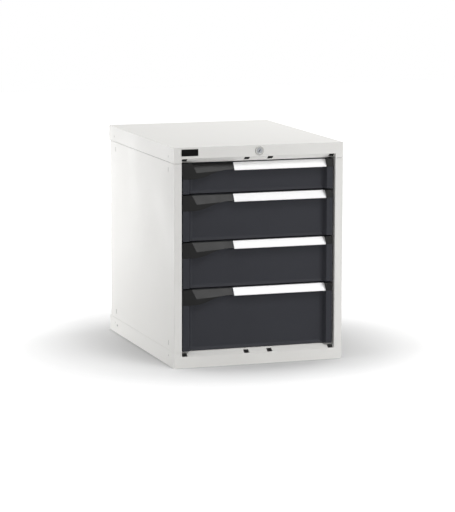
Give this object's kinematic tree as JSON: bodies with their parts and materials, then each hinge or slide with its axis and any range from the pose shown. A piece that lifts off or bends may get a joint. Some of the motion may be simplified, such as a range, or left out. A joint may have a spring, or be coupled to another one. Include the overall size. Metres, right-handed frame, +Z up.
{
  "type": "workshop drawer cabinet",
  "caption": "Floor-standing steel workshop cabinet with full-width telescopic drawers, sloped label handles, finger latches and a central cylinder lock.",
  "frame": {"origin": "on the floor under the middle of the housing", "axes": "+Z up, -Y out of the front, +X to the right seen from the front"},
  "size_m": [0.564, 0.7275, 0.7],
  "materials": {
    "white_steel": "light grey powder coat with a fine texture",
    "anthracite_steel": "anthracite powder coat",
    "black_plastic": "black moulded plastic with a fine grain",
    "label_card": "bare white card under a clear strip",
    "grey_nylon": "moulded nylon",
    "zinc_steel": "bright zinc-plated steel",
    "nickel_lock": "satin nickel-plated brass"
  },
  "bodies": {
    "cabinet": {"base_frame": "white_steel", "left_side_panel": "white_steel", "right_side_panel": "white_steel", "rear_posts": "white_steel", "back_panel": "white_steel", "top_cover": "white_steel", "name_plate": "black_plastic", "fixed_rails": "zinc_steel", "lock_housing": "nickel_lock", "lock_nut": "zinc_steel", "lock_rod_bracket": "zinc_steel", "lock_bar_guides": "grey_nylon"},
    "drawer_1": {"drawer_1_tray": "anthracite_steel", "drawer_1_catch": "zinc_steel", "drawer_1_front": "anthracite_steel", "drawer_1_handle": "anthracite_steel", "drawer_1_label": "label_card", "drawer_1_grip": "black_plastic", "drawer_1_end_cap": "black_plastic", "drawer_1_drawer_rails": "zinc_steel"},
    "slide_1": {"drawer_1_mid_rails": "zinc_steel", "drawer_1_rollers": "grey_nylon"},
    "latch_1": {"drawer_1_latch": "grey_nylon"},
    "drawer_2": {"drawer_2_tray": "anthracite_steel", "drawer_2_catch": "zinc_steel", "drawer_2_front": "anthracite_steel", "drawer_2_handle": "anthracite_steel", "drawer_2_label": "label_card", "drawer_2_grip": "black_plastic", "drawer_2_end_cap": "black_plastic", "drawer_2_drawer_rails": "zinc_steel"},
    "slide_2": {"drawer_2_mid_rails": "zinc_steel", "drawer_2_rollers": "grey_nylon"},
    "latch_2": {"drawer_2_latch": "grey_nylon"},
    "drawer_3": {"drawer_3_tray": "anthracite_steel", "drawer_3_catch": "zinc_steel", "drawer_3_front": "anthracite_steel", "drawer_3_handle": "anthracite_steel", "drawer_3_label": "label_card", "drawer_3_grip": "black_plastic", "drawer_3_end_cap": "black_plastic", "drawer_3_drawer_rails": "zinc_steel"},
    "slide_3": {"drawer_3_mid_rails": "zinc_steel", "drawer_3_rollers": "grey_nylon"},
    "latch_3": {"drawer_3_latch": "grey_nylon"},
    "drawer_4": {"drawer_4_tray": "anthracite_steel", "drawer_4_catch": "zinc_steel", "drawer_4_front": "anthracite_steel", "drawer_4_handle": "anthracite_steel", "drawer_4_label": "label_card", "drawer_4_grip": "black_plastic", "drawer_4_end_cap": "black_plastic", "drawer_4_drawer_rails": "zinc_steel"},
    "slide_4": {"drawer_4_mid_rails": "zinc_steel", "drawer_4_rollers": "grey_nylon"},
    "latch_4": {"drawer_4_latch": "grey_nylon"},
    "lock": {"lock_plug": "nickel_lock", "lock_rod": "zinc_steel"},
    "lock_bar": {"lock_bar": "zinc_steel", "lock_hooks": "zinc_steel"}
  },
  "joints": [
    {"name": "drawer_1_pull", "type": "slide", "parent": "cabinet", "child": "drawer_1", "axis": [0, -1, 0], "range_m": [0, 0.6]},
    {"name": "slide_1_run", "type": "slide", "parent": "cabinet", "child": "slide_1", "axis": [0, -1, 0], "range_m": [0, 0.3]},
    {"name": "latch_1_squeeze", "type": "hinge", "parent": "drawer_1", "child": "latch_1", "pos_m": [-0.238, -0.3445, 0.611], "axis": [0, 0, -1], "range_deg": [0, 6], "stiffness_Nm_per_rad": 0.2},
    {"name": "drawer_2_pull", "type": "slide", "parent": "cabinet", "child": "drawer_2", "axis": [0, -1, 0], "range_m": [0, 0.6]},
    {"name": "slide_2_run", "type": "slide", "parent": "cabinet", "child": "slide_2", "axis": [0, -1, 0], "range_m": [0, 0.3]},
    {"name": "latch_2_squeeze", "type": "hinge", "parent": "drawer_2", "child": "latch_2", "pos_m": [-0.238, -0.3445, 0.511], "axis": [0, 0, -1], "range_deg": [0, 6], "stiffness_Nm_per_rad": 0.2},
    {"name": "drawer_3_pull", "type": "slide", "parent": "cabinet", "child": "drawer_3", "axis": [0, -1, 0], "range_m": [0, 0.6]},
    {"name": "slide_3_run", "type": "slide", "parent": "cabinet", "child": "slide_3", "axis": [0, -1, 0], "range_m": [0, 0.3]},
    {"name": "latch_3_squeeze", "type": "hinge", "parent": "drawer_3", "child": "latch_3", "pos_m": [-0.238, -0.3445, 0.361], "axis": [0, 0, -1], "range_deg": [0, 6], "stiffness_Nm_per_rad": 0.2},
    {"name": "drawer_4_pull", "type": "slide", "parent": "cabinet", "child": "drawer_4", "axis": [0, -1, 0], "range_m": [0, 0.6]},
    {"name": "slide_4_run", "type": "slide", "parent": "cabinet", "child": "slide_4", "axis": [0, -1, 0], "range_m": [0, 0.3]},
    {"name": "latch_4_squeeze", "type": "hinge", "parent": "drawer_4", "child": "latch_4", "pos_m": [-0.238, -0.3445, 0.211], "axis": [0, 0, -1], "range_deg": [0, 6], "stiffness_Nm_per_rad": 0.2},
    {"name": "lock_turn", "type": "hinge", "parent": "cabinet", "child": "lock", "pos_m": [0, -0.3625, 0.682], "axis": [0, 1, 0], "range_deg": [0, 90]},
    {"name": "lock_bar_lift", "type": "slide", "parent": "cabinet", "child": "lock_bar", "axis": [0, 0, 1], "range_m": [0, 0.01202]}
  ],
  "couplings": [
    {"joint": "slide_1_run", "follows": "drawer_1_pull", "ratio": 0.5},
    {"joint": "slide_2_run", "follows": "drawer_2_pull", "ratio": 0.5},
    {"joint": "slide_3_run", "follows": "drawer_3_pull", "ratio": 0.5},
    {"joint": "slide_4_run", "follows": "drawer_4_pull", "ratio": 0.5},
    {"joint": "lock_turn", "follows": "lock_bar_lift", "rad_per_m": 130.67}
  ]
}
